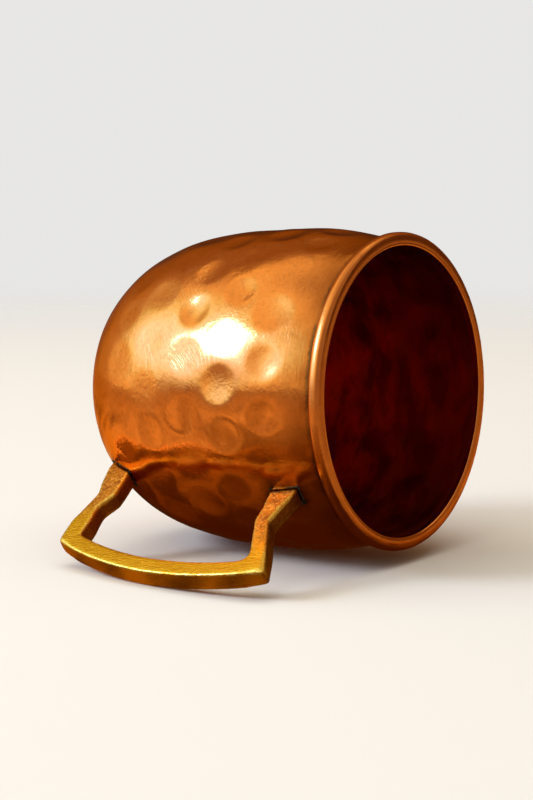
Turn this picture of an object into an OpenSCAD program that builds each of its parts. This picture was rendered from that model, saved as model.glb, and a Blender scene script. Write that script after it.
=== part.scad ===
// Barrel-shaped hammered copper mug, standing on its base with the handle towards +X.
// Origin: the centre of the base, on the surface that the mug stands on. Units: millimetres.

/* [Body] */
// Height of the mug from base to lip
mug_h = 85; // [83:1:95]
// Outer diameter of the belly, the widest part
belly_d = 88.6; // [87:0.2:92]
// Height of the belly above the base
belly_h = 54; // [48:1:58]
// Diameter of the base, where it meets the curved side
base_d = 59; // [50:1:64]
// Outer diameter of the straight neck behind the rim band
neck_d = 79.8; // [78:0.2:84]
// How square the lower side is: 2 is round and more is squarer
side_fullness = 2.8; // [2.4:0.05:3.2]
// Thickness of the copper sheet
wall_t = 1.1; // [0.8:0.1:1.6]

/* [Rim] */
// Diameter of the round wire that the rim band is made from
band_wire_d = 3.2; // [2.8:0.1:4]
// How far the rim band stands out from the neck
band_out = 2.6; // [2:0.1:2.7]
// Size of the solder line under the rim band
rim_solder_w = 0.6; // [0.4:0.1:0.8]

/* [Handle] */
// Thickness of the flat cast handle
handle_t = 5.4; // [4:0.2:8]
// Width of each arm where it meets the body
pad_w = 8.4; // [7.6:0.2:9.6]
// Width of each arm at its waist
waist_w = 4.8; // [4:0.2:6]
// Distance of the waists from the mug's axis
waist_x = 54.4; // [53:0.2:57]
// Height of the middle of the lower pad
low_pad_z = 12.4; // [11:0.2:14]
// Height of the middle of the upper pad
high_pad_z = 70; // [68:0.5:72]
// Distance from the mug's axis to the furthest point of the grip
grip_reach = 76.5; // [74:0.5:82]
// Radius of the bow along the outside of the grip
grip_bow_r = 102.5; // [90:0.5:120]
// Width of the grip
grip_w = 5; // [4:0.2:6]
// Size of the rounding inside the upper corner
corner_bend = 4; // [2:0.5:5]
// Width of the solder bead round each pad
pad_solder_w = 0.8; // [0.5:0.1:1.2]
// Height of the solder bead above the body
pad_solder_h = 0.7; // [0.4:0.1:1]

/* [Hidden] */
$fn = 96;

COPPER = "#b8642c";
BRASS = "#c9962e";
SOLDER = "#5c5638";

belly_r = belly_d / 2;
base_r = base_d / 2;
neck_r = neck_d / 2;
band_r = band_wire_d / 2;

// ---- Side of the mug ----

// Height of the foot of the straight neck, and the rise and narrowing from the belly up to it
neck_z = mug_h - band_wire_d;
rise = neck_z - belly_h;
narrowing = belly_r - neck_r;
// Points along the side below and above the belly
low_steps = 18;
high_steps = 12;
// How far a cutting solid reaches past the surface that it cuts
past = 1;
// Height step over which the side's slope is measured
slope_step = 0.01;

// Below the belly the side is a superellipse, which the base cuts off flat.
side_drop = belly_h / pow(1 - pow(base_r / belly_r, side_fullness), 1 / side_fullness);
function low_side_r(z) =
    belly_r * pow(1 - pow((belly_h - z) / side_drop, side_fullness), 1 / side_fullness);

// Above the belly it is an arc that leaves the belly upright and ends at the neck.
shoulder_r = (rise * rise + narrowing * narrowing) / (2 * narrowing);
function high_side_r(z) = belly_r - shoulder_r + sqrt(pow(shoulder_r, 2) - pow(z - belly_h, 2));

function side_r(z) = z < belly_h ? low_side_r(z) : high_side_r(z);
function side_slope(z) = (side_r(z + slope_step) - side_r(z)) / slope_step;
function side_normal(z) = [1, -side_slope(z)] / norm([1, -side_slope(z)]);

side_heights = concat(
    [for (i = [0 : low_steps - 1]) belly_h * (1 - cos(90 * i / low_steps))],
    [for (i = [0 : high_steps]) belly_h + (rise - slope_step) * i / high_steps]
);
// Outline of the side, [radius, height] from the base up, moved outwards by out.
function side_outline(out) = [for (z = side_heights) [side_r(z), z] + out * side_normal(z)];
function outline_r(outline, z) = lookup(z, [for (p = outline) [p.y, p.x]]);

// Everything inside the outline, from the height floor_z up the neck to the height top_z.
module revolved(outline, floor_z, top_z) {
    neck = outline[len(outline) - 1];
    rotate_extrude()
        polygon(concat(
            [[0, floor_z], [outline_r(outline, floor_z), floor_z]],
            [for (p = outline) if (p.y > floor_z + slope_step) p],
            [[neck.x, top_z], [0, top_z]]
        ));
}

// The mug's outer shape as a solid.
module outer_shape() {
    revolved(side_outline(0), 0, mug_h);
}

// ---- Copper body and rim ----

module mug_body() {
    color(COPPER)
        difference() {
            outer_shape();
            revolved(side_outline(-wall_t), wall_t, mug_h + past);
        }
}

// Centre of the section of the wire that the rim band is made from, as [radius, height]
band_wire_centre = [neck_r + band_out - band_r, mug_h - band_r];
// Sides of the polygon round that wire whose flats the top of the solder follows
solder_flats = 12;

// Copper wire bent round the mouth and flattened where it lies against the neck
module rim_band() {
    color(COPPER)
        rotate_extrude()
            intersection() {
                translate(band_wire_centre)
                    circle(r = band_r);
                translate([neck_r, neck_z - past])
                    square([band_wire_d, band_wire_d + 2 * past]);
            }
}

// Solder that fills the corner between the neck and the underside of the rim band. Its top is made
// of flats that touch the wire, because a curve this slight is lost when the solder is meshed.
module rim_solder() {
    color(SOLDER)
        rotate_extrude()
            difference() {
                translate([neck_r, neck_z])
                    square(rim_solder_w);
                translate(band_wire_centre)
                    circle(r = band_r / cos(180 / solder_flats), $fn = solder_flats);
            }
}

// ---- Cast brass handle ----
// Its outline is drawn as [distance from the mug's axis, height].

// The arms start inside the body, which trims them to its own curve.
root_x = 30;
// Arms, from the mug outwards: [distance from the axis, height of the middle, width].
low_arm = [
    [root_x, low_pad_z, pad_w],
    [waist_x - 15, low_pad_z, pad_w],
    [waist_x - 9.8, low_pad_z + 1.1, pad_w - 0.6],
    [waist_x - 5, low_pad_z + 2.2, pad_w - 2],
    [waist_x, low_pad_z + 0.7, waist_w - 0.4],
    [waist_x + 6.6, low_pad_z + 0.8, waist_w + 1.6]
];
high_arm = [
    [root_x, high_pad_z, pad_w],
    [waist_x - 10, high_pad_z, pad_w - 0.4],
    [waist_x - 4.8, high_pad_z, pad_w - 2.4],
    [waist_x + 0.2, high_pad_z - 0.2, waist_w]
];
function arm_top(arm) = [for (s = arm) [s[0], s[1] + s[2] / 2]];
function arm_bottom(arm) = [for (s = arm) [s[0], s[1] - s[2] / 2]];
function reversed(points) = [for (i = [len(points) - 1 : -1 : 0]) points[i]];

// Centre of the circles that the outside and the inside of the grip follow
grip_centre = [grip_reach - grip_bow_r, 50.5];
grip_inner_r = grip_bow_r - grip_w;
// Heights of the grip's outer corners, and of its inner ones
low_corner_z = 10.3;
high_corner_z = 80.6;
low_inner_z = 16.6;
high_inner_z = 74;
grip_steps = 24;
bend_steps = 8;

function grip_point(r, z) = [grip_centre.x + sqrt(r * r - pow(z - grip_centre.y, 2)), z];
function grip_arc(r, z0, z1) = [
    for (i = [0 : grip_steps]) grip_point(r, z0 + (z1 - z0) * i / grip_steps)
];

// A rounded corner: a smooth bend from a to c that leaves a and reaches c heading for b.
function bend(a, b, c) = [
    for (i = [0 : bend_steps]) let (t = i / bend_steps)
        pow(1 - t, 2) * a + 2 * t * (1 - t) * b + t * t * c
];

// Rounding between the underside of the upper arm and the inside of the grip.
high_inner = grip_point(grip_inner_r, high_inner_z);
arm_end = arm_bottom(high_arm)[len(high_arm) - 1];
arm_direction = (high_inner - arm_end) / norm(high_inner - arm_end);
high_inner_bend = bend(
    high_inner - corner_bend * arm_direction,
    high_inner,
    grip_point(grip_inner_r, high_inner_z - corner_bend)
);

handle_outline = concat(
    arm_bottom(low_arm),
    grip_arc(grip_bow_r, low_corner_z, high_corner_z),
    reversed(arm_top(high_arm)),
    arm_bottom(high_arm),
    high_inner_bend,
    grip_arc(grip_inner_r, high_inner_z - corner_bend - slope_step, low_inner_z),
    reversed(arm_top(low_arm))
);

// The handle's whole outline, given its thickness half to each side of the mug's middle plane
module handle_plate() {
    rotate([90, 0, 0])
        linear_extrude(height = handle_t, center = true)
            polygon(handle_outline);
}

module handle() {
    color(BRASS)
        difference() {
            handle_plate();
            outer_shape();
        }
}

// Solder bead round a pad: a collar that hugs both the body and the arm.
module pad_solder(pad_z) {
    collar = [belly_r, handle_t + 2 * pad_solder_w, pad_w + 2 * pad_solder_w];
    color(SOLDER)
        difference() {
            intersection() {
                revolved(side_outline(pad_solder_h), 0, mug_h);
                translate([belly_r, 0, pad_z])
                    cube(collar, center = true);
            }
            outer_shape();
            handle_plate();
        }
}

module upper_solder() {
    pad_solder(high_pad_z);
}

module lower_solder() {
    pad_solder(low_pad_z);
}

mug_body();
rim_band();
rim_solder();
handle();
upper_solder();
lower_solder();
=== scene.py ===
from collections import namedtuple
import math
import random

import bmesh
import bpy
import numpy as np
from mathutils import Matrix, Vector, noise


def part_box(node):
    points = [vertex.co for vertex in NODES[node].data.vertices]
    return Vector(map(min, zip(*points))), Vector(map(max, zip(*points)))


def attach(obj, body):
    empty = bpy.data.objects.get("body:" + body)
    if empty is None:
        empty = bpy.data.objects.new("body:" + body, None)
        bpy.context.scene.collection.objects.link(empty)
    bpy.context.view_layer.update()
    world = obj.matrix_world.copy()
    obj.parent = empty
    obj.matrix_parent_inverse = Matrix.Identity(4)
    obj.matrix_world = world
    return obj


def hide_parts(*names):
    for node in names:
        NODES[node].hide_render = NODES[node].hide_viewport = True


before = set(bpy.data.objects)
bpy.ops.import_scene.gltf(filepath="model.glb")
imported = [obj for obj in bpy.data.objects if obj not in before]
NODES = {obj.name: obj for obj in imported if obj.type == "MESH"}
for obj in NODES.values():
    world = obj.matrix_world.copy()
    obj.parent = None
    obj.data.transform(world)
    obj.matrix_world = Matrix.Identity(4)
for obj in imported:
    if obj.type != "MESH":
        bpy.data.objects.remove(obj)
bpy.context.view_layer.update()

# A hammered copper mug that lies on its side on a pale tabletop. The row frame has the mug upright:
# +Z runs from its base to its mouth and +X from its axis to its handle. Lengths are in metres.

MM = 0.001
SEED = 11

# ---- Sizes: the CAD boxes give the outer ones, and the rest repeat part.scad's driving values ----

BODY_TOP_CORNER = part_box("mug_body")[1]
MUG_HEIGHT = BODY_TOP_CORNER.z
MUG_MIDDLE = Vector((0, 0, MUG_HEIGHT / 2))
BELLY_RADIUS = BODY_TOP_CORNER.x
BAND_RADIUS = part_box("rim_band")[1].x
HANDLE_HALF_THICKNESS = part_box("handle")[1].y
BELLY_HEIGHT = 54 * MM
BASE_RADIUS = 29.5 * MM
NECK_RADIUS = 39.9 * MM
SIDE_FULLNESS = 2.8
WALL = 1.1 * MM
WIRE_RADIUS = 1.6 * MM
NECK_FOOT = MUG_HEIGHT - 2 * WIRE_RADIUS
# Centre of the circles that the grip bows round
BOW_CENTRE = Vector((-26, 0, 50.5)) * MM

# Where the handle's arms are brazed on. stain is how much darker the copper is made beside it.
Pad = namedtuple("Pad", "name height width stain bead_seed")
PADS = (
    Pad("upper", 70.0 * MM, 8.0 * MM, 0.9, 8),
    Pad("lower", 12.4 * MM, 8.4 * MM, 0.45, 9),
)


def side_radius(z):
    """Outer radius of the side: a superellipse below the belly and an arc above it."""
    power = SIDE_FULLNESS
    drop = BELLY_HEIGHT / (1 - (BASE_RADIUS / BELLY_RADIUS) ** power) ** (1 / power)
    if z < BELLY_HEIGHT:
        return BELLY_RADIUS * (1 - ((BELLY_HEIGHT - z) / drop) ** power) ** (1 / power)
    rise = NECK_FOOT - BELLY_HEIGHT
    narrowing = BELLY_RADIUS - NECK_RADIUS
    arc = (rise ** 2 + narrowing ** 2) / (2 * narrowing)
    return BELLY_RADIUS - arc + math.sqrt(arc ** 2 - (min(z, NECK_FOOT) - BELLY_HEIGHT) ** 2)


def side_normal(z):
    """Outward normal of the side, as (across, up)."""
    step = 0.05 * MM
    slope = (side_radius(z + step) - side_radius(z - step)) / (2 * step) if z > step else 1.0
    return Vector((1, -slope)).normalized()


# ---- How the mug lies: the tabletop frame has x to the right, y into the picture and z up ----

MOUTH_TURN = math.radians(35.9)     # the mouth turns this far from the picture plane to the camera
MOUTH_LIFT = math.radians(2.4)      # the axis rises this much towards the mouth
HANDLE_ROLL = math.radians(56.0)    # the handle is rolled this far from straight down


def lying_rotation():
    """The rotation that takes row directions to tabletop directions."""
    axis = Vector((
        math.cos(MOUTH_TURN) * math.cos(MOUTH_LIFT),
        -math.sin(MOUTH_TURN) * math.cos(MOUTH_LIFT),
        math.sin(MOUTH_LIFT),
    ))
    down = Vector((0, 0, -1))
    down = (down - axis * axis.dot(down)).normalized()
    side = axis.cross(down)
    handle = math.cos(HANDLE_ROLL) * down - math.sin(HANDLE_ROLL) * side
    across = axis.cross(handle)
    return Matrix((handle, across, axis)).transposed()


TABLE_FROM_ROW = lying_rotation()
ROW_FROM_TABLE = Matrix.Translation(MUG_MIDDLE) @ TABLE_FROM_ROW.transposed().to_4x4()


def table_height(point):
    """Height of a row-frame point above the mug's middle, in the tabletop frame."""
    return (TABLE_FROM_ROW @ (Vector(point) - MUG_MIDDLE)).z


FLOOR_Z = min(table_height(v.co) for cad in NODES.values() for v in cad.data.vertices)


def table_direction(azimuth, elevation):
    """A direction from the mug: azimuth 0 is to the camera, -90 to the left and 180 behind."""
    a, e = math.radians(azimuth), math.radians(elevation)
    return Vector((math.sin(a) * math.cos(e), -math.cos(a) * math.cos(e), math.sin(e)))


# ---- Shader helpers: the materials' patterns all work in millimetres ----

class Nodes:
    """A shader's node tree. Each input is a plain value or another node's output socket."""

    def __init__(self, tree):
        self.tree = tree
        tree.nodes.clear()

    def add(self, kind, inputs=None, **settings):
        """A new node of a kind, with its settings made and its inputs set or linked."""
        made = self.tree.nodes.new("ShaderNode" + kind)
        for key, value in settings.items():
            setattr(made, key, value)
        for key, value in (inputs or {}).items():
            if isinstance(value, bpy.types.NodeSocket):
                self.tree.links.new(value, made.inputs[key])
            else:
                made.inputs[key].default_value = value
        return made

    def math(self, operation, a, b=0.0):
        return self.add("Math", {0: a, 1: b}, operation=operation).outputs[0]

    def plus(self, a, b):
        return self.math("ADD", a, b)

    def minus(self, a, b):
        return self.math("SUBTRACT", a, b)

    def times(self, a, b):
        return self.math("MULTIPLY", a, b)

    def larger(self, a, b):
        return self.math("MAXIMUM", a, b)

    def magnitude(self, a):
        return self.math("ABSOLUTE", a)

    def squares(self, a, b):
        """The sum of the two squares."""
        return self.plus(self.times(a, a), self.times(b, b))

    def vector_math(self, operation, a, b=(0, 0, 0)):
        outputs = self.add("VectorMath", {0: a, 1: b}, operation=operation).outputs
        return outputs["Value" if operation in ("DOT_PRODUCT", "LENGTH") else "Vector"]

    def dot(self, a, b):
        return self.vector_math("DOT_PRODUCT", a, b)

    def parts(self, vector):
        return self.add("SeparateXYZ", {0: vector}).outputs

    def place_in_mm(self):
        place = self.add("TexCoord").outputs["Object"]
        return self.vector_math("MULTIPLY", place, (1 / MM, 1 / MM, 1 / MM))

    def remap(self, value, low, high, to_low=0.0, to_high=1.0):
        """value from low..high to to_low..to_high, eased at both ends and clamped."""
        inputs = {
            "Value": value, "From Min": low, "From Max": high, "To Min": to_low, "To Max": to_high,
        }
        return self.add("MapRange", inputs, interpolation_type="SMOOTHSTEP").outputs["Result"]

    def cloud(self, place, size, detail=3.0, roughness=0.55, distortion=0.0):
        """Smooth random values round 0.5, with features about size across."""
        inputs = {
            "Vector": place, "Scale": 1 / size, "Detail": detail, "Roughness": roughness,
            "Distortion": distortion,
        }
        return self.add("TexNoise", inputs).outputs["Fac"]

    def grain(self, place, sizes, rotation=(0, 0, 0), **settings):
        """A cloud with a size for each of x, y and z, once place is turned by degrees."""
        inputs = {"Vector": place, "Rotation": [math.radians(a) for a in rotation]}
        turned = self.add("Mapping", inputs, vector_type="POINT").outputs["Vector"]
        squeezed = self.vector_math("MULTIPLY", turned, [1 / size for size in sizes])
        return self.cloud(squeezed, 1.0, **settings)

    def scratches(self, place, rotation, length, spacing, width, patch):
        """Long fine lines, spacing apart, in patches of a size: 1 on a line and 0 beside it."""
        layers = self.grain(place, (length, length, spacing), rotation, detail=1.0)
        line = self.remap(self.magnitude(self.minus(layers, 0.5)), 0.0, width, 1.0, 0.0)
        return self.times(line, self.remap(self.cloud(place, patch), 0.5, 0.62))

    def painted(self, base, *coats):
        """The base colour under coats, each given as (where it is, how strong, its colour)."""
        for where, strength, colour in coats:
            inputs = {"Factor": self.times(where, strength), "A": base, "B": colour}
            base = self.add("Mix", inputs, data_type="RGBA").outputs["Result"]
        return base

    def bumps(self, *layers):
        """The normal after every layer, each given as (height map, height in mm of its 1)."""
        inputs = {"Strength": 1.0}
        for height, distance in layers:
            inputs.update({"Height": height, "Distance": distance * MM})
            inputs["Normal"] = self.add("Bump", inputs).outputs["Normal"]
        return inputs["Normal"]

    def finish(self, shader, output="OutputMaterial"):
        self.add(output, {"Surface": shader.outputs[0]})

    def finish_metal(self, colour, roughness, normal, edge_tint):
        inputs = {
            "Base Color": colour,
            "Metallic": 1.0,
            "Roughness": roughness,
            "Specular Tint": edge_tint,
            "Normal": normal,
        }
        self.finish(self.add("BsdfPrincipled", inputs))


def new_material(name):
    material = bpy.data.materials.new(name)
    material.use_nodes = True
    return material, Nodes(material.node_tree)


# ---- Materials ----

COPPER = (0.93, 0.35, 0.095, 1)
COPPER_DULL = (0.76, 0.25, 0.07, 1)
COPPER_BROWN = (0.40, 0.12, 0.022, 1)
COPPER_BY_PAD = (0.09, 0.035, 0.015, 1)
COPPER_PALE = (0.97, 0.50, 0.22, 1)
COPPER_EDGE = (0.90, 0.58, 0.32, 1)
SEAM_GREEN = (0.085, 0.055, 0.028, 1)
OXIDE_RED = (0.98, 0.17, 0.03, 1)
OXIDE_DARK = (0.33, 0.036, 0.008, 1)
OXIDE_EDGE = (0.60, 0.12, 0.05, 1)
BRASS = (1.0, 0.61, 0.04, 1)
BRASS_SHADE = (0.90, 0.50, 0.03, 1)
BRASS_PALE = (1.0, 0.50, 0.09, 1)
# painted shade for the arms' faces that run round the handle's outline
BRASS_SIDE_SHADE_PAINTED = (0.28, 0.11, 0.02, 1)
BRASS_WORN = (1.0, 0.79, 0.19, 1)
BRASS_DULL = (0.76, 0.31, 0.03, 1)
BRASS_COPPERY = (0.43, 0.155, 0.03, 1)
BRASS_DARK = (0.10, 0.05, 0.02, 1)
BRASS_EDGE = (0.90, 0.60, 0.14, 1)
SOLDER_DARK = (0.012, 0.009, 0.006, 1)
SOLDER_GREEN = (0.045, 0.042, 0.022, 1)


def hammered_copper():
    """The outside: soft polish with tarnish, hammer grain, crossing scratches and a dirty seam."""
    material, nodes = new_material("hammered_copper")
    place = nodes.place_in_mm()
    height = nodes.parts(place)["Z"]
    tarnish = nodes.cloud(place, 14, detail=5, roughness=0.6, distortion=0.4)
    tarnish = nodes.remap(tarnish, 0.42, 0.72)
    smoke = nodes.remap(nodes.cloud(place, 4, detail=6, roughness=0.7), 0.50, 0.80)
    specks = nodes.remap(nodes.cloud(place, 1.3, detail=4, roughness=0.6), 0.50, 0.75)
    lines = nodes.larger(
        nodes.scratches(place, (35, 40, 0), length=30, spacing=0.9, width=0.04, patch=12),
        nodes.scratches(place, (-40, 25, 0), length=24, spacing=1.1, width=0.03, patch=10),
    )
    neck_smoke, seam_grime = rim_stains(nodes, place, height)
    colour = nodes.painted(
        COPPER,
        (tarnish, 0.45, COPPER_DULL),
        (smoke, 0.22, COPPER_BROWN),
        (lines, 0.35, COPPER_PALE),
        (specks, 0.28, COPPER_BROWN),
        (pad_darkening(nodes, place), 1.0, COPPER_BY_PAD),
        (neck_smoke, 0.65, COPPER_BROWN),
        (seam_grime, 0.75, SEAM_GREEN),
    )

    grained = nodes.remap(nodes.cloud(place, 8), 0.42, 0.62, 0.3, 1.0)
    grain = nodes.times(nodes.cloud(place, 0.9, detail=4), grained)
    near_neck = nodes.remap(height, 64, 76, 0.2, 1.0)
    rings = nodes.times(nodes.grain(place, (12, 12, 0.45)), near_neck)
    streaked = nodes.remap(nodes.cloud(place, 9), 0.48, 0.66)
    streaks = nodes.times(nodes.grain(place, (1.3, 1.3, 6), (30, 0, 0), detail=1.0), streaked)
    normal = nodes.bumps((grain, 0.045), (rings, 0.035), (streaks, 0.028), (lines, -0.004))
    roughness = nodes.remap(nodes.cloud(place, 7, detail=4), 0.3, 0.7, 0.10, 0.18)
    roughness = nodes.plus(roughness, nodes.times(tarnish, 0.06))
    nodes.finish_metal(colour, roughness, normal, COPPER_EDGE)
    return material


def rim_stains(nodes, place, height):
    """Browning up the neck, and broken grime along the seam. Both end under the rim band."""
    under_band = nodes.remap(height, 82.2, 83, 1.0, 0.0)
    up_neck = nodes.plus(height, nodes.times(nodes.cloud(place, 5, detail=4), 8))
    smoke = nodes.times(nodes.remap(up_neck, 74, 86), under_band)
    to_seam = nodes.plus(height, nodes.times(nodes.cloud(place, 2.5, detail=5), 1.6))
    grime = nodes.times(nodes.remap(to_seam, 80.3, 81.3), under_band)
    broken = nodes.remap(nodes.cloud(place, 12, detail=4), 0.40, 0.58, 0.35, 1.0)
    return smoke, nodes.times(grime, broken)


def pad_darkening(nodes, place):
    """Darker copper round each pad: strongest beside a pad, fading out in broken patches."""
    stain = 0.0
    for pad in PADS:
        middle = (side_radius(pad.height) / MM, 0, pad.height / MM)
        offset = nodes.vector_math("SUBTRACT", place, middle)
        squeezed = nodes.vector_math("MULTIPLY", offset, (1, 1.3, 1))
        broken = nodes.times(nodes.cloud(place, 3, detail=5), 5)
        away = nodes.plus(nodes.vector_math("LENGTH", squeezed), broken)
        stain = nodes.larger(stain, nodes.remap(away, 6.2, 11.5, pad.stain, 0.0))
    return stain


def oxidised_copper():
    """The inside: dark red oxide with soft paler blotches, darker towards the mouth."""
    material, nodes = new_material("oxidised_copper")
    place = nodes.place_in_mm()
    up_wall = nodes.remap(nodes.parts(place)["Z"], 30, 80)
    blotch = nodes.remap(nodes.grain(place, (15, 15, 7), distortion=0.3), 0.36, 0.66)
    colour = nodes.painted(OXIDE_DARK, (blotch, 1.0, OXIDE_RED), (up_wall, 0.7, OXIDE_DARK))
    roughness = nodes.remap(nodes.cloud(place, 6, detail=4), 0.3, 0.7, 0.34, 0.48)
    normal = nodes.bumps((nodes.grain(place, (18, 18, 0.3), detail=2.0), 0.02))
    nodes.finish_metal(colour, roughness, normal, OXIDE_EDGE)
    return material


def worn_copper():
    """The rim wire: fine marks that run round it, and browner patches."""
    material, nodes = new_material("worn_copper")
    place = nodes.place_in_mm()
    patches = nodes.remap(nodes.cloud(place, 10, detail=5, roughness=0.6), 0.45, 0.7)
    smoke = nodes.remap(nodes.cloud(place, 3, detail=5), 0.55, 0.8)
    colour = nodes.painted(COPPER, (patches, 0.6, COPPER_DULL), (smoke, 0.35, COPPER_BROWN))
    roughness = nodes.remap(nodes.cloud(place, 5, detail=4), 0.3, 0.7, 0.16, 0.28)
    ring_marks = nodes.grain(place, (20, 20, 0.12))
    normal = nodes.bumps((ring_marks, 0.012), (nodes.cloud(place, 0.9), 0.008))
    nodes.finish_metal(colour, roughness, normal, COPPER_EDGE)
    return material


def cast_brass():
    """The handle: brushed on the grip, dull and coppery on the arms, bright on worn edges, with
    painted shade on the arms' side faces.
    """
    material, nodes = new_material("cast_brass")
    place = nodes.place_in_mm()
    along = nodes.parts(place)
    # 1 on the handle's two flat faces and 0 on the faces that run round its outline
    flat = nodes.magnitude(nodes.parts(nodes.add("TexCoord").outputs["Normal"])["Y"])
    edge = nodes.times(nodes.remap(flat, 0.04, 0.25), nodes.remap(flat, 0.93, 0.998, 1.0, 0.0))
    worn = nodes.times(edge, nodes.remap(nodes.cloud(place, 3, detail=4), 0.30, 0.50))
    unevenness = nodes.times(nodes.cloud(place, 5, detail=5, roughness=0.6), 10)
    reach = nodes.plus(along["X"], unevenness)
    reach = nodes.minus(reach, nodes.remap(along["Z"], 55, 78, 0, 7))
    polished = nodes.larger(nodes.remap(reach, 57, 67), worn)

    mottle = nodes.remap(nodes.cloud(place, 2.4, detail=6, roughness=0.65), 0.40, 0.66)
    specks = nodes.remap(nodes.cloud(place, 0.7, roughness=0.6), 0.50, 0.60)
    arm = nodes.painted(
        BRASS_DULL,
        (mottle, 1.0, BRASS_COPPERY),
        (specks, 0.9, BRASS_PALE),
        # painted shade: the arms' faces that run round the outline are made darker
        (nodes.remap(flat, 0.0, 0.5, 1.0, 0.0), 0.6, BRASS_SIDE_SHADE_PAINTED),
    )
    slanting = nodes.grain(place, (0.16, 1, 6), (0, 14, 0))
    bowed = nodes.times(nodes.minus(1.0, flat), along_bow(nodes, place))
    strokes = nodes.plus(nodes.times(flat, slanting), bowed)
    grip = nodes.painted(BRASS_SHADE, (nodes.remap(strokes, 0.40, 0.62), 1.0, BRASS))
    pits = nodes.remap(nodes.cloud(place, 1.1, detail=4, roughness=0.7), 0.66, 0.76)
    pitted = nodes.times(pits, nodes.remap(polished, 0, 1, 1.0, 0.25))
    colour = nodes.painted(
        arm, (polished, 1.0, grip), (worn, 0.8, BRASS_WORN), (pitted, 0.8, BRASS_DARK)
    )

    roughness = nodes.remap(polished, 0, 1, 0.48, 0.28)
    roughness = nodes.times(roughness, nodes.remap(strokes, 0.35, 0.65, 0.8, 1.15))
    normal = nodes.bumps((strokes, 0.03), (specks, 0.04), (pitted, -0.06))
    nodes.finish_metal(colour, roughness, normal, BRASS_EDGE)
    return material


def along_bow(nodes, place):
    """Hairlines that follow the bow of the grip, round the middle of its circle."""
    parts = nodes.parts(nodes.vector_math("SUBTRACT", place, BOW_CENTRE / MM))
    radius = nodes.math("SQRT", nodes.squares(parts["X"], parts["Z"]))
    bent = nodes.add("CombineXYZ", {"X": radius, "Y": parts["Y"], "Z": parts["Z"]}).outputs[0]
    return nodes.grain(bent, (0.15, 0.15, 9))


def flux_stained_solder():
    """Nearly black and rough, with greenish flux stain."""
    material, nodes = new_material("flux_stained_solder")
    place = nodes.place_in_mm()
    stain = nodes.remap(nodes.cloud(place, 1.5, detail=5, roughness=0.65), 0.4, 0.62)
    inputs = {
        "Base Color": nodes.painted(SOLDER_DARK, (stain, 1.0, SOLDER_GREEN)),
        "Metallic": 0.2,
        "Roughness": 0.7,
        "Specular IOR Level": 0.2,
        "Normal": nodes.bumps((nodes.cloud(place, 0.3, detail=4), 0.06)),
    }
    nodes.finish(nodes.add("BsdfPrincipled", inputs))
    return material


# ---- Mesh helpers ----

def new_mesh(name, vertices, faces):
    mesh = bpy.data.meshes.new(name)
    mesh.from_pydata(vertices, [], faces)
    mesh.update()
    return mesh


def add_piece(name, mesh, materials, cad_node):
    """Shows a mesh in place of a CAD node. It is part of the one body that the mug is."""
    piece = bpy.data.objects.new(name, mesh)
    bpy.context.scene.collection.objects.link(piece)
    for material in materials:
        mesh.materials.append(material)
    mesh.shade_smooth()
    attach(piece, "root")
    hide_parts(cad_node)


def grid_faces(rings, segments, wrap_rings=False):
    """Quads between rings of vertices; each ring is a closed loop of segments."""
    faces = []
    for ring in range(rings if wrap_rings else rings - 1):
        upper = (ring + 1) % rings
        for i in range(segments):
            j = (i + 1) % segments
            faces.append((
                ring * segments + i,
                ring * segments + j,
                upper * segments + j,
                upper * segments + i,
            ))
    return faces


def noise_at(points, size, seed):
    """Smooth noise from -1 to 1 at each point, with features of about the given size."""
    shift = Vector((seed * 17.3, seed * 5.7, seed * 29.1))
    return np.array([noise.noise(Vector(p) / size + shift) for p in points])


def unevenness_at(points, layers):
    """Depths in mm of layers of noise, each given as (its mean depth in mm, its size, its seed)."""
    return sum(depth * (1 + noise_at(points, size, seed)) for depth, size, seed in layers)


def varied(size, *layers):
    """A size that noise varies, each layer given as (its share, where its noise is read)."""
    for share, place in layers:
        size *= 1 + share * noise.noise(place)
    return size


def distance_to(points, place):
    return np.linalg.norm(points - place, axis=1)


# ---- Hammered body ----

SEGMENTS = 600
OUTLINE_STEPS = 400
# Rings of vertices up the base, the side and the lip, and down the inside and the floor
BASE_RINGS = 14
SIDE_RINGS = 165
LIP_RINGS = 9
INSIDE_RINGS = 66
FLOOR_RINGS = 12
BASE_EDGE = 2.2 * MM            # size of the rounding between the base and the side
FLOOR_EDGE = 3 * MM             # and of the one inside it
# Which points of the outline those two roundings head for
BASE_EDGE_END = 10
FLOOR_EDGE_END = 20
LIP_RISE = 0.45 * MM            # height of the rounded top of the lip
CENTRE_HOLE = 0.5 * MM          # radius of the fans that close the base and the floor
LOWEST_SLOPE = 0.2 * MM         # lowest height at which the side's slope is used

DIMPLES_PER_RING = 20
DIMPLE_RINGS = 5
DIMPLE_TOP_HEIGHT = 68 * MM
DIMPLE_RING_STEP = 12.6 * MM
DIMPLE_FIRST_ANGLE = math.radians(-67)
DIMPLE_RADIUS = 5.2 * MM
DIMPLE_RADIUS_RANGE = (0.88, 1.08)
DIMPLE_DEPTH = 0.74 * MM
DIMPLE_DEPTH_RANGE = (0.55, 1.15)
DIMPLE_SWAY = 2                 # how many degrees a mark strays round the mug
DIMPLE_DRIFT = 1 * MM           # and how far it strays up or down
SOFT_EDGE = 5.0                 # how sharply a mark's rim turns into the sheet round it
# Some marks were struck lightly: their share of the usual depth, by ring and place round it
FAINT_DIMPLES = {
    (0, 3): 0.25, (0, 19): 0.25,
    (1, 0): 0.25, (1, 18): 0.4,
    (2, 1): 0.55, (2, 2): 0.5, (2, 3): 0.25, (2, 19): 0.5,
    (3, 1): 0.65,
}
# Beaten sheet is gently wavy: each layer's mean depth in mm, its size and its seed
SHEET_WAVES = ((0.19, 13 * MM, 3), (0.025, 5 * MM, 4))
WAVES_END = 79 * MM
WAVES_FADE = 6 * MM
# The sheet is smooth this near a pad's middle, and the hammering fades in over the next stretch
PAD_SMOOTH = 5 * MM
PAD_FADE = 4 * MM


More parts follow.
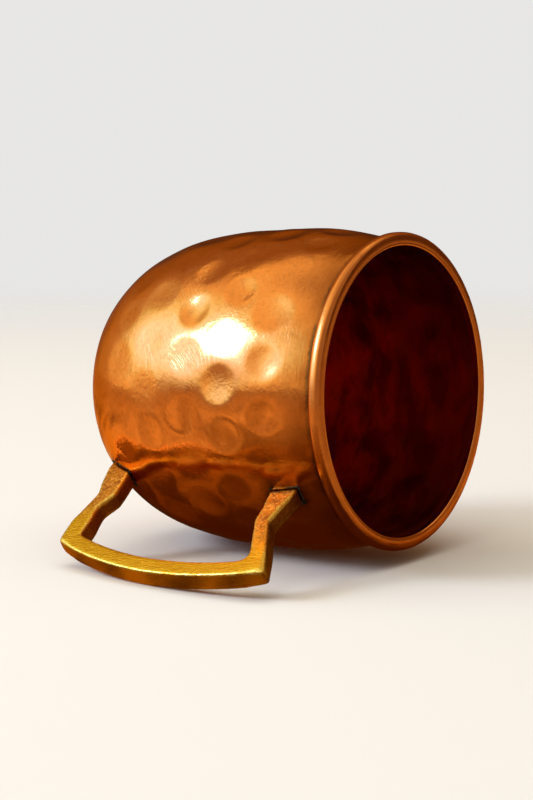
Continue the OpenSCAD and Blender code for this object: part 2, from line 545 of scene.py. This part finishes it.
def evenly_spaced(points, count):
    """count points along a polyline, at equal steps of its length."""
    steps = np.hypot(*np.diff(points, axis=0).T)
    lengths = np.concatenate([[0], np.cumsum(steps)])
    wanted = np.linspace(0, lengths[-1], count)
    return np.column_stack([np.interp(wanted, lengths, points[:, k]) for k in (0, 1)])


def rounded_corner(before, corner, after, size, steps=7):
    """Points of a smooth bend that replaces a corner of an outline."""
    start = corner + (before - corner) / np.linalg.norm(before - corner) * size
    end = corner + (after - corner) / np.linalg.norm(after - corner) * size
    ts = np.linspace(0, 1, steps)[:, None]
    return (1 - ts) ** 2 * start + 2 * ts * (1 - ts) * corner + ts ** 2 * end


def level_line(start, end, z, count):
    """A level line of a section, as rows of radius and height."""
    return np.column_stack([np.linspace(start, end, count), np.full(count, z)])


def body_section():
    """The sheet's section, from the middle of the base up the side and down inside to the floor.

    Gives its points as rows of radius and height, and which of them are the side and the inside."""
    side = np.array([(side_radius(z), z) for z in np.linspace(0, MUG_HEIGHT, OUTLINE_STEPS + 1)])
    inner = side - WALL * np.array([side_normal(z) for z in side[:, 1]])
    inner = inner[inner[:, 1] > WALL]
    lip_height = MUG_HEIGHT - LIP_RISE

    base_bend = rounded_corner(np.array((0, 0)), side[0], side[BASE_EDGE_END], BASE_EDGE)
    base = level_line(CENTRE_HOLE, base_bend[0, 0], 0, BASE_RINGS)
    straight = side[(side[:, 1] > base_bend[-1, 1]) & (side[:, 1] < lip_height)]
    outer = evenly_spaced(np.vstack([base_bend[-1:], straight]), SIDE_RINGS)

    lip_inner = np.array((NECK_RADIUS - WALL, lip_height))
    ts = np.linspace(0, math.pi, LIP_RINGS + 2)[1:-1]
    lip_middle = (outer[-1, 0] + lip_inner[0]) / 2
    lip = np.column_stack([lip_middle + WALL / 2 * np.cos(ts), lip_height + LIP_RISE * np.sin(ts)])

    middle = np.array((0, WALL))
    floor_bend = rounded_corner(middle, inner[0], inner[FLOOR_EDGE_END], FLOOR_EDGE)[::-1]
    straight = inner[(inner[:, 1] > floor_bend[0, 1]) & (inner[:, 1] < lip_height)][::-1]
    inside = evenly_spaced(np.vstack([lip_inner, straight, floor_bend[:1]]), INSIDE_RINGS)
    floor = level_line(floor_bend[-1, 0], CENTRE_HOLE, WALL, FLOOR_RINGS)

    section = np.vstack([base[:-1], base_bend[:-1], outer, lip, inside, floor_bend[1:], floor[1:]])
    first_outer = len(base) + len(base_bend) - 2
    first_inside = first_outer + len(outer) + len(lip)
    return (
        section,
        slice(first_outer, first_outer + len(outer)),
        slice(first_inside, first_inside + len(inside)),
    )


def revolve(section):
    """Points or directions of a section turned round the axis, as rings of x, y, z."""
    angles = np.arange(SEGMENTS) * math.tau / SEGMENTS
    r, z = section[:, :1], section[:, 1:]
    return np.stack([r * np.cos(angles), r * np.sin(angles), z + 0 * angles], axis=2)


def dimples():
    """(centre, radius, depth) of each hammer mark, in staggered rings, shallower lower down."""
    rng = random.Random(SEED)
    marks = []
    for ring in range(DIMPLE_RINGS):
        fade = min(1, 1.4 - 0.25 * ring)
        for i in range(DIMPLES_PER_RING):
            turn = i + (0.5 if ring % 2 else 0)
            angle = DIMPLE_FIRST_ANGLE + math.tau * turn / DIMPLES_PER_RING
            angle += math.radians(rng.uniform(-DIMPLE_SWAY, DIMPLE_SWAY))
            z = DIMPLE_TOP_HEIGHT - ring * DIMPLE_RING_STEP + rng.uniform(-1, 1) * DIMPLE_DRIFT
            r = side_radius(z)
            centre = np.array((r * math.cos(angle), r * math.sin(angle), z))
            radius = DIMPLE_RADIUS * rng.uniform(*DIMPLE_RADIUS_RANGE)
            depth = DIMPLE_DEPTH * fade * rng.uniform(*DIMPLE_DEPTH_RANGE)
            marks.append((centre, radius, depth * FAINT_DIMPLES.get((ring, i), 1)))
    return marks


def dent_depths(points, marks):
    """How far the marks push in each point of the outer side."""
    depths = np.zeros(len(points))
    for centre, radius, depth in marks:
        offset = points - centre
        near = np.abs(offset).max(axis=1) < 1.4 * radius
        inside = 1 - (offset[near] ** 2).sum(axis=1) / radius ** 2
        depths[near] += depth * np.logaddexp(0, SOFT_EDGE * inside) / SOFT_EDGE
    return depths


def hammering(points, marks):
    """Depth of the marks and of the waves, which fade out towards the neck and the base."""
    z = points[:, 2]
    fade = np.clip((WAVES_END - z) / WAVES_FADE, 0, 1) * np.clip(z / WAVES_FADE, 0, 1)
    depths = dent_depths(points, marks) + unevenness_at(points, SHEET_WAVES) * MM * fade
    for pad in PADS:
        to_pad = distance_to(points, (side_radius(pad.height), 0, pad.height))
        depths *= np.clip((to_pad - PAD_SMOOTH) / PAD_FADE, 0, 1)
    return depths


def hammer(grid, section, rings, skin_offset, marks):
    """Pushes rings of the sheet in along its normals, as deep as the skin outside them is hammered.

    skin_offset is how far inside that skin the rings lie."""
    heights = np.clip(section[rings, 1], LOWEST_SLOPE, NECK_FOOT)
    normals = np.array([side_normal(z) for z in heights])
    skin = revolve(section[rings] + skin_offset * normals)
    depths = hammering(skin.reshape(-1, 3), marks).reshape(skin.shape[:2])
    grid[rings] -= revolve(normals) * depths[:, :, None]


def build_body(outside_material, inside_material):
    section, outer, inside = body_section()
    grid = revolve(section)
    marks = dimples()
    hammer(grid, section, outer, 0.0, marks)
    hammer(grid, section, inside, WALL, marks)

    faces = grid_faces(len(section), SEGMENTS)
    base_middle = len(section) * SEGMENTS
    floor_middle = base_middle + 1
    last_ring = (len(section) - 1) * SEGMENTS
    for i in range(SEGMENTS):
        j = (i + 1) % SEGMENTS
        faces.append((base_middle, j, i))
        faces.append((floor_middle, last_ring + i, last_ring + j))
    vertices = np.vstack([grid.reshape(-1, 3), [(0, 0, 0), (0, 0, WALL)]])
    mesh = new_mesh("mug_body_hammered", vertices.tolist(), faces)
    add_piece("mug_body_hammered", mesh, [outside_material, inside_material], "mug_body")
    first_inside_vertex = (inside.start + 1) * SEGMENTS
    for polygon in mesh.polygons:
        polygon.material_index = int(min(polygon.vertices) >= first_inside_vertex)


# ---- Rim wire and the solder behind it ----

BAND_SEGMENTS = 720
BAND_SECTION_POINTS = 36
WIRE_SQUARENESS = 2.5           # 2 is round and more is squarer
WIRE_UNEVENNESS = 0.07 * MM
WIRE_LUMPINESS = 9              # how fast the unevenness changes round the mug
GROOVE_SHARE = 0.12             # depth of the step between wire and lip: 1 is a round wire's
LIP_OVERLAP = 0.4 * MM          # how far the wire's flattened top reaches over the lip
NECK_GAP = 0.02 * MM
RIM_SOLDER_SIDES = 12
RIM_SOLDER_RADIUS = 0.28 * MM
RIM_SOLDER_OUT = 0.12 * MM      # how far the line's middle stands out from the neck
RIM_SOLDER_UP = 0.04 * MM       # and how far above the neck's foot it runs


def turned_ring(name, section_points, place_on_section, material, cad_node):
    """A closed ring round the mug. place_on_section(t, around) gives a radius and a height."""
    vertices = []
    for k in range(section_points):
        for i in range(BAND_SEGMENTS):
            angle = math.tau * i / BAND_SEGMENTS
            around = Vector((math.cos(angle), math.sin(angle), 0))
            r, z = place_on_section(math.tau * k / section_points, around)
            vertices.append((r * around.x, r * around.y, z))
    faces = grid_faces(section_points, BAND_SEGMENTS, wrap_rings=True)
    add_piece(name, new_mesh(name, vertices, faces), [material], cad_node)


def wire_section(t, around):
    """A squashed and slightly uneven circle, flat on the neck and level with the lip."""
    across, up = math.cos(t), math.sin(t)
    squash = (abs(across) ** WIRE_SQUARENESS + abs(up) ** WIRE_SQUARENESS) ** (-1 / WIRE_SQUARENESS)
    wobble = noise.noise(around * WIRE_LUMPINESS + Vector((0, 0, 3))) * 0.5 + 0.5
    radius = squash * (WIRE_RADIUS - WIRE_UNEVENNESS * wobble)
    centre_r = BAND_RADIUS - WIRE_RADIUS
    centre_z = MUG_HEIGHT - WIRE_RADIUS
    r = centre_r + radius * across
    z = centre_z + radius * up
    if r < centre_r and z > centre_z:
        return max(r, NECK_RADIUS - LIP_OVERLAP), MUG_HEIGHT - GROOVE_SHARE * (MUG_HEIGHT - z)
    if z < centre_z:
        return max(r, NECK_RADIUS + NECK_GAP), z
    return r, z


def solder_section(t, around):
    """A thin line whose width wanders round the neck."""
    size = varied(RIM_SOLDER_RADIUS, (0.6, around * 7), (0.35, around * 40))
    return (
        NECK_RADIUS + RIM_SOLDER_OUT + size * math.cos(t),
        NECK_FOOT + RIM_SOLDER_UP + size * math.sin(t),
    )


# ---- Cast handle, softened from the CAD solid, and its solder ----

HANDLE_VOXEL = 0.25 * MM
# Rounds of smoothing: over all of it, then more at the grip's corners, then more on the arms
ROUNDS_ALL = 14
ROUNDS_CORNERS = 80
ROUNDS_ARMS = 26
# The grip's two outer corners, as (distance from the axis, height), and how far their rounding goes
GRIP_CORNERS = ((67.7 * MM, 10.3 * MM), (71.7 * MM, 80.6 * MM))
CORNER_REACH = 7 * MM
# Distances from the axis over which the arms' extra smoothing, and their rough skin, fade out
ARM_END = 63 * MM
ARM_FADE = 6 * MM
ROUGH_END = 62 * MM
ROUGH_FADE = 14 * MM
GRIP_ROUGHNESS = 0.15           # as a share of the arms'
# The skin of cast metal: each layer's mean depth in mm, its size and its seed
CAST_SKIN = ((0.10, 4 * MM, 5), (0.05, 1.4 * MM, 6))
BEAD_STEPS = 60
BEAD_SIDES = 10
BEAD_RADIUS = 0.44 * MM
BEAD_SINK = 0.28 * MM


def remeshed(cad_node, voxel):
    """A fine even mesh of a CAD node."""
    source = bmesh.new()
    source.from_mesh(NODES[cad_node].data)
    bmesh.ops.remove_doubles(source, verts=source.verts, dist=0.001 * MM)
    mesh = bpy.data.meshes.new(cad_node + "_welded")
    source.to_mesh(mesh)
    source.free()
    helper = bpy.data.objects.new("remesh_helper", mesh)
    bpy.context.scene.collection.objects.link(helper)
    modifier = helper.modifiers.new("remesh", "REMESH")
    modifier.mode = "VOXEL"
    modifier.voxel_size = voxel
    graph = bpy.context.evaluated_depsgraph_get()
    fine = bpy.data.meshes.new_from_object(helper.evaluated_get(graph))
    bpy.data.objects.remove(helper)
    bpy.data.meshes.remove(mesh)
    return fine


def read_rows(collection, name, width, kind=float):
    """An attribute of a mesh's vertices or edges, as an array with one row for each."""
    values = np.zeros(len(collection) * width, dtype=kind)
    collection.foreach_get(name, values)
    return values.reshape(-1, width)


def move_vertices(mesh, points):
    mesh.vertices.foreach_set("co", points.ravel())
    mesh.update()


def soften(mesh, rounds, share=0.5):
    """Rounds the edges: moves each vertex a share of the way to the middle of its neighbours."""
    points = read_rows(mesh.vertices, "co", 3)
    a, b = read_rows(mesh.edges, "vertices", 2, int).T
    neighbours = np.bincount(a, minlength=len(points)) + np.bincount(b, minlength=len(points))
    for _ in range(rounds):
        total = np.zeros_like(points)
        np.add.at(total, a, points[b])
        np.add.at(total, b, points[a])
        points += share * (total / neighbours[:, None] - points)
    move_vertices(mesh, points)
    return points


def build_handle(material):
    """The CAD solid with worn edges, rounder grip corners and a cast skin, rougher on the arms."""
    mesh = remeshed("handle", HANDLE_VOXEL)
    points = soften(mesh, ROUNDS_ALL)
    to_corners = [np.hypot(points[:, 0] - x, points[:, 2] - z) for x, z in GRIP_CORNERS]
    near_corner = np.clip(1 - np.min(to_corners, axis=0) / CORNER_REACH, 0, 1)
    on_arm = np.clip((ARM_END - points[:, 0]) / ARM_FADE, 0, 1)
    soften(mesh, ROUNDS_CORNERS, 0.5 * near_corner[:, None])
    points = soften(mesh, ROUNDS_ARMS, 0.5 * on_arm[:, None])
    rough = np.clip((ROUGH_END - points[:, 0]) / ROUGH_FADE, GRIP_ROUGHNESS, 1)
    depths = unevenness_at(points, CAST_SKIN) * rough * MM
    normals = read_rows(mesh.vertex_normals, "vector", 3)
    move_vertices(mesh, points - normals * depths[:, None])
    add_piece("handle_cast", mesh, [material], "handle")


def pad_outline(pad):
    """Points where an arm's four faces meet the side of the mug, sunk a little into it."""
    corners = [(-1, -1), (1, -1), (1, 1), (-1, 1)]
    path = []
    for (y0, z0), (y1, z1) in zip(corners, corners[1:] + corners[:1]):
        for t in np.linspace(0, 1, BEAD_STEPS, endpoint=False):
            y = (y0 + (y1 - y0) * t) * HANDLE_HALF_THICKNESS
            z = pad.height + (z0 + (z1 - z0) * t) * pad.width / 2
            path.append(Vector((math.sqrt(side_radius(z) ** 2 - y ** 2) - BEAD_SINK, y, z)))
    return path


def build_pad_solder(pad, material):
    """A thin uneven bead along the line where a handle arm meets the side of the mug."""
    path = pad_outline(pad)
    vertices = []
    for i, point in enumerate(path):
        ahead = (path[(i + 1) % len(path)] - path[i - 1]).normalized()
        out = Vector((point.x, point.y, 0)).normalized()
        across = ahead.cross(out)
        lump_place = point / (2 * MM) + Vector((pad.bead_seed, 0, 0))
        radius = varied(BEAD_RADIUS, (0.8, lump_place), (0.5, point / (0.6 * MM)))
        for k in range(BEAD_SIDES):
            t = math.tau * k / BEAD_SIDES
            vertices.append(point + radius * (math.cos(t) * out + math.sin(t) * across))
    name = pad.name + "_solder_bead"
    mesh = new_mesh(name, vertices, grid_faces(len(path), BEAD_SIDES, wrap_rings=True))
    add_piece(name, mesh, [material], pad.name + "_solder")


# ---- Floor, placed in the tabletop frame ----

FLOOR_HALF = 1.6
FLOOR_FADE = (350, 1300)        # distances from the mug, in mm, over which the floor fades out
PALE = (0.80, 0.795, 0.785, 1)


def pale_floor():
    """Plain and matt, and fading out far from the mug into the equally pale backdrop."""
    material, nodes = new_material("pale_floor")
    away = nodes.vector_math("LENGTH", nodes.place_in_mm())
    faded = nodes.remap(away, *FLOOR_FADE)
    finish_floor(nodes, nodes.add("BsdfDiffuse", {"Color": PALE}), faded)
    return material


def finish_floor(nodes, shader, faded=0.0):
    """The views from under the table look through the floor at the mug."""
    from_behind = nodes.add("NewGeometry").outputs["Backfacing"]
    clear = nodes.add("BsdfTransparent")
    inputs = {0: nodes.larger(from_behind, faded), 1: shader.outputs[0], 2: clear.outputs[0]}
    nodes.finish(nodes.add("MixShader", inputs))


TABLE_NEAR = (0.84, 0.50, 0.18, 1)
TABLE_FAR = (0.60, 0.36, 0.16, 1)
TABLE_GRAIN = (0.24, 0.12, 0.045, 1)
# painted light: a bright line round the mug's painted shadow
TABLE_PAINTED_LIGHT = (1.6, 0.72, 0.16, 1)
TABLE_SHADOW = (0.16, 0.07, 0.01, 1)
# Colours inside the mug's painted shadow on the table
TABLE_SHADE = (0.42, 0.165, 0.018, 1)
TABLE_SHADOW_DARK = (0.055, 0.016, 0.002, 1)
# The mug's shadow, painted dark on the table: a skewed box with rounded corners
PAINTED_SHADOW_HALF_LENGTH = 65
PAINTED_SHADOW_HALF_WIDTH = 53
PAINTED_SHADOW_CORNER = 28
PAINTED_SHADOW_SKEW = 0.35


def reflected_table():
    """The table that the metal reflects, a glowing card: warm planks, with the mug's shadow painted
    dark on them, a painted line of light round that shadow and painted shadow on the mouth's side.
    """
    material, nodes = new_material("reflected_table")
    spot = nodes.place_in_mm()
    axis = Vector((math.cos(MOUTH_TURN), -math.sin(MOUTH_TURN), 0))
    across = Vector((math.sin(MOUTH_TURN), math.cos(MOUTH_TURN), 0))
    across = (across + PAINTED_SHADOW_SKEW * axis).normalized()
    along_mug = nodes.dot(spot, axis)
    from_axis = nodes.magnitude(nodes.dot(spot, across))
    away = nodes.math("SQRT", nodes.squares(
        nodes.larger(nodes.minus(nodes.magnitude(along_mug), PAINTED_SHADOW_HALF_LENGTH), 0.0),
        nodes.larger(nodes.minus(from_axis, PAINTED_SHADOW_HALF_WIDTH), 0.0),
    ))
    lit = nodes.remap(away, PAINTED_SHADOW_CORNER, PAINTED_SHADOW_CORNER + 3)

    # painted shadow of the mug: darkest along its axis, lighter away from it, and mottled
    mottle = nodes.remap(nodes.cloud(spot, 14), 0.40, 0.60)
    painted_mug_shadow = nodes.painted(
        TABLE_SHADOW_DARK, (nodes.remap(from_axis, 12, 75), 1.0, TABLE_SHADE), (mottle, 0.85, TABLE_SHADOW_DARK)
    )
    planks = nodes.remap(nodes.grain(spot, (70, 26, 1), detail=4.0), 0.44, 0.66)
    # painted light: a bright line just outside the mug's painted shadow
    painted_light_line = nodes.times(lit, nodes.remap(away, 30, 36, 1.0, 0.0))
    under_mouth = nodes.remap(along_mug, -40, -8)
    mouth_shadow = nodes.times(under_mouth, nodes.remap(away, 30, 110, 0.8, 0.35))
    planks_beyond = nodes.painted(
        TABLE_NEAR,
        (nodes.remap(away, 50, 400), 1.0, TABLE_FAR),
        (planks, 1.0, TABLE_GRAIN),
        (painted_light_line, 1.0, TABLE_PAINTED_LIGHT),
        (mouth_shadow, 1.0, TABLE_SHADOW),
    )
    colour = nodes.painted(painted_mug_shadow, (lit, 1.0, planks_beyond))
    finish_floor(nodes, nodes.add("Emission", {"Color": colour}))
    return material


def add_floor(name, material, in_reflections):
    """A square that the mug lies on, which either the camera sees or only reflections do."""
    corners = [(-1, -1), (1, -1), (1, 1), (-1, 1)]
    vertices = [(x * FLOOR_HALF, y * FLOOR_HALF, FLOOR_Z) for x, y in corners]
    floor = bpy.data.objects.new(name, new_mesh(name, vertices, [(0, 1, 2, 3)]))
    floor.data.materials.append(material)
    floor.matrix_world = ROW_FROM_TABLE
    bpy.context.scene.collection.objects.link(floor)
    floor.visible_glossy = in_reflections
    floor.visible_camera = not in_reflections
    floor.visible_diffuse = not in_reflections
    floor.visible_shadow = not in_reflections


# ---- Lights ----

KEY_COLOUR = (0.95, 0.97, 1.0)
KEY_GLEAM = (0.35, 0.42, 1.0)
TOP_COLOUR = (0.90, 0.95, 1.0)


def add_panel(name, azimuth, elevation, distance, degrees, radiance, colour, only_in=None):
    """A soft square light that faces the mug and spans so many degrees as seen from it."""
    light = bpy.data.lights.new(name, "AREA")
    light.shape = "RECTANGLE"
    light.size, light.size_y = (2 * distance * math.tan(math.radians(span / 2)) for span in degrees)
    light.color = colour
    light.energy = radiance * math.pi * light.size * light.size_y
    lamp = bpy.data.objects.new(name, light)
    bpy.context.scene.collection.objects.link(lamp)
    towards = table_direction(azimuth, elevation)
    turn = (-towards).to_track_quat("-Z", "Y").to_matrix().to_4x4()
    lamp.matrix_world = ROW_FROM_TABLE @ Matrix.Translation(towards * distance) @ turn
    lamp.visible_camera = False
    lamp.visible_glossy = only_in != "diffuse"
    lamp.visible_diffuse = only_in != "reflections"


def add_lights():
    """A window at the left, whiter on the floor than in the metal, and soft light from above."""
    add_panel("key", -76, 30, 1.6, (19, 18), 16.0, KEY_COLOUR, only_in="diffuse")
    add_panel("key_reflection", -76, 31, 1.6, (15, 15), 16.0, KEY_GLEAM, only_in="reflections")
    add_panel("top", 0, 88, 2.6, (60, 60), 1.3, TOP_COLOUR, only_in="diffuse")


# ---- The room that the metal reflects ----

ROOM_WALL_DARK = (0.09, 0.038, 0.014, 1)
ROOM_WALL_HIGH = (0.28, 0.15, 0.07, 1)
ROOM_WALL_DIM = (0.33, 0.19, 0.12, 1)
ROOM_WALL_LIT = (0.58, 0.41, 0.26, 1)
ROOM_TOP = (1.02, 0.84, 0.45, 1)
ROOM_ZENITH = (0.62, 0.46, 0.26, 1)
ROOM_FRONT = (0.34, 0.22, 0.13, 1)
ROOM_LOW = (0.36, 0.22, 0.13, 1)
ROOM_HALO = (1.06, 1.56, 1.20, 1)
ROOM_GLOW = (1.7, 1.95, 3.3, 1)
WALL_EDGE_SLOPE = 1.65          # the back wall ends where a direction rises this much per unit back
GLOW_AZIMUTH = -84
GLOW_HEIGHT = 0.40
GLOW_HALF_WIDTH = 0.58
GLOW_HALF_HEIGHT = 0.36


def room_colour(nodes):
    """Above the table: a dark wall behind, a bright top, and the glow of a window at the left.

    A direction's x, y and z are those of the tabletop frame, each from -1 to 1."""
    direction = nodes.add("TexCoord").outputs["Generated"]
    x, y, z = (nodes.dot(direction, TABLE_FROM_ROW[i]) for i in range(3))
    left = nodes.times(x, -1.0)
    wall = nodes.painted(
        ROOM_WALL_DARK,
        (nodes.remap(z, 0.20, 0.60), 1.0, ROOM_WALL_HIGH),
        (nodes.remap(left, 0.05, 0.40), 1.0, ROOM_WALL_DIM),
        (nodes.remap(left, 0.40, 0.70), 1.0, ROOM_WALL_LIT),
        (nodes.remap(left, 0.78, 1.0), 1.0, ROOM_TOP),
    )
    upper = nodes.painted(
        ROOM_TOP,
        (nodes.remap(z, 0.84, 0.98), 1.0, ROOM_ZENITH),
        (nodes.remap(nodes.minus(x, y), 0.1, 0.9), 1.0, ROOM_FRONT),
    )
    over_wall = nodes.remap(nodes.minus(z, nodes.times(y, WALL_EDGE_SLOPE)), -0.05, 0.05)
    beside_glow = TABLE_FROM_ROW.transposed() @ table_direction(GLOW_AZIMUTH + 90, 0)
    from_glow = nodes.squares(
        nodes.times(nodes.dot(direction, beside_glow), 1 / GLOW_HALF_WIDTH),
        nodes.times(nodes.minus(z, GLOW_HEIGHT), 1 / GLOW_HALF_HEIGHT),
    )
    at_left = nodes.remap(left, 0.0, 0.3)
    low = nodes.remap(z, 0.02, 0.14, 1.0, 0.0)
    in_front = nodes.remap(y, -0.2, 0.1, 1.0, 0.0)
    return nodes.painted(
        wall,
        (over_wall, 1.0, upper),
        (nodes.times(nodes.remap(from_glow, 0.3, 1.4, 1.0, 0.0), at_left), 1.0, ROOM_HALO),
        (nodes.times(nodes.remap(from_glow, 0.0, 0.85, 1.0, 0.0), at_left), 1.0, ROOM_GLOW),
        (nodes.times(low, in_front), 1.0, ROOM_LOW),
        (nodes.remap(nodes.cloud(direction, 0.30), 0.50, 0.75), 0.5, ROOM_WALL_DIM),
    )


def add_world():
    """Pale to the camera, and a warm room in reflections."""
    world = bpy.data.worlds.new("studio")
    bpy.context.scene.world = world
    world.use_nodes = True
    nodes = Nodes(world.node_tree)
    seen = nodes.add("Background", {"Color": PALE})
    room = nodes.add("Background", {"Color": room_colour(nodes)})
    camera_ray = nodes.add("LightPath").outputs["Is Camera Ray"]
    inputs = {0: camera_ray, 1: room.outputs[0], 2: seen.outputs[0]}
    nodes.finish(nodes.add("MixShader", inputs), "OutputWorld")


# ---- Camera ----

CAMERA_PITCH = math.radians(7.0)    # how far the camera looks down on the table
CAMERA_DISTANCE = 530.6 * MM        # along the view, to the level of the mug's middle
CAMERA_RIGHT = -3.0 * MM
CAMERA_UP = -3.45 * MM
CAMERA_LENS = 85.5
CAMERA_SENSOR = 36


def add_camera():
    data = bpy.data.cameras.new("camera")
    data.sensor_fit = "VERTICAL"
    data.sensor_height = CAMERA_SENSOR
    data.sensor_width = CAMERA_SENSOR
    data.lens = CAMERA_LENS
    data.clip_start = 0.01
    camera = bpy.data.objects.new("camera", data)
    bpy.context.scene.collection.objects.link(camera)
    forward = Vector((0, math.cos(CAMERA_PITCH), -math.sin(CAMERA_PITCH)))
    right = Vector((1, 0, 0))
    up = right.cross(forward)
    spot = right * CAMERA_RIGHT + up * CAMERA_UP - forward * CAMERA_DISTANCE
    turn = Matrix((right, up, -forward)).transposed().to_4x4()
    camera.matrix_world = ROW_FROM_TABLE @ Matrix.Translation(spot) @ turn
    bpy.context.scene.camera = camera


# ---- Build everything ----

build_body(hammered_copper(), oxidised_copper())
turned_ring(
    "rim_band_wire", BAND_SECTION_POINTS, wire_section, worn_copper(), "rim_band"
)
solder = flux_stained_solder()
turned_ring("rim_solder_line", RIM_SOLDER_SIDES, solder_section, solder, "rim_solder")
build_handle(cast_brass())
for pad in PADS:
    build_pad_solder(pad, solder)
add_floor("floor_pale", pale_floor(), in_reflections=False)
add_floor("floor_in_reflections", reflected_table(), in_reflections=True)
add_lights()
add_world()
add_camera()
bpy.context.scene.view_settings.view_transform = "Standard"
